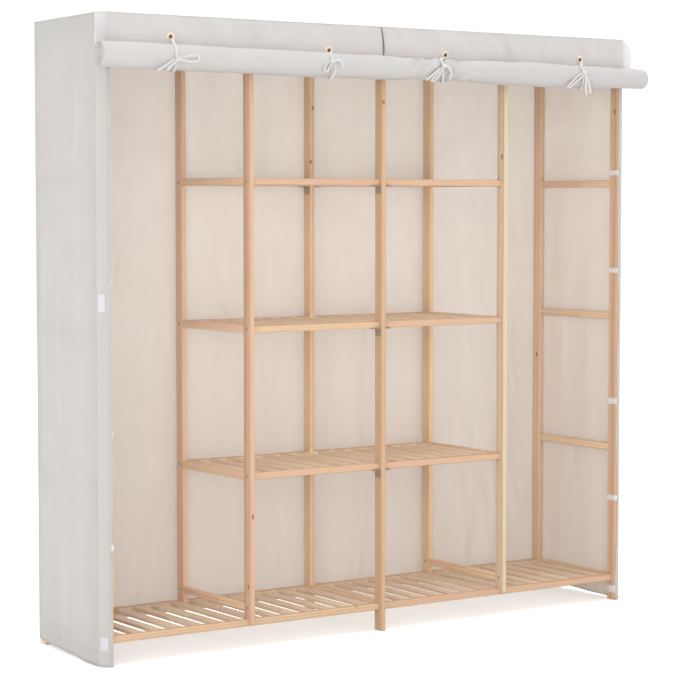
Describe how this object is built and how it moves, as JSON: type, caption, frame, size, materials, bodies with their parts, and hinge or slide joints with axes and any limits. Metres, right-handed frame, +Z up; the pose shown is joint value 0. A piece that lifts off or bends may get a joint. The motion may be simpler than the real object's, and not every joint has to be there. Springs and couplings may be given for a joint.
{
  "type": "portable fabric wardrobe",
  "caption": "Free-standing wooden wardrobe frame with slatted shelves and hanging bays under a cloth cover, its front curtain rolled up and tied.",
  "frame": {"origin": "on the floor below the middle of the whole object, rolled curtain included and ties left out", "axes": "+X to the right when facing the open front, -Y out of the open front, +Z up"},
  "size_m": [1.81, 0.4857, 1.6663],
  "materials": {
    "pine": "planed and clear-sealed softwood",
    "cloth": "matt off-white non-woven cloth",
    "cord": "white twisted cord",
    "copper": "satin copper-coloured plating"
  },
  "bodies": {
    "frame": {"post_left_front": "pine", "post_left_back": "pine", "post_inner_left_front": "pine", "post_inner_left_back": "pine", "post_centre_front": "pine", "post_centre_back": "pine", "post_inner_right_front": "pine", "post_inner_right_back": "pine", "post_right_front": "pine", "post_right_back": "pine", "rung_left_0": "pine", "rung_left_1": "pine", "rung_left_2": "pine", "rung_left_3": "pine", "rod_carrier_left": "pine", "rung_inner_left_0": "pine", "rung_inner_left_1": "pine", "rung_inner_left_2": "pine", "rung_inner_left_3": "pine", "rod_carrier_inner_left": "pine", "rung_centre_0": "pine", "rung_inner_right_0": "pine", "rung_inner_right_1": "pine", "rung_inner_right_2": "pine", "rung_inner_right_3": "pine", "rod_carrier_inner_right": "pine", "rung_right_0": "pine", "rung_right_1": "pine", "rung_right_2": "pine", "rung_right_3": "pine", "rod_carrier_right": "pine", "deck_bottom_left": "pine", "shelf_left_1": "pine", "shelf_left_2": "pine", "shelf_left_3": "pine", "top_rail_left_front": "pine", "top_rail_left_back": "pine", "hanging_rod_left": "pine", "deck_bottom_right": "pine", "shelf_right_1": "pine", "shelf_right_2": "pine", "shelf_right_3": "pine", "top_rail_right_front": "pine", "top_rail_right_back": "pine", "hanging_rod_right": "pine", "cover_left": "cloth", "cover_right": "cloth", "cover_back": "cloth", "cover_roof": "cloth", "cover_header": "cloth", "eyelet_1": "copper", "tie_1": "cord", "eyelet_2": "copper", "tie_2": "cord", "eyelet_3": "copper", "tie_3": "cord", "eyelet_4": "copper", "tie_4": "cord"},
    "curtain": {"curtain_roll": "cloth"}
  },
  "joints": [
    {"name": "curtain_drop", "type": "slide", "parent": "frame", "child": "curtain", "axis": [0, 0, 1], "range_m": [-1.5, 0], "deforming": ["tie_1", "tie_2", "tie_3", "tie_4"]}
  ]
}
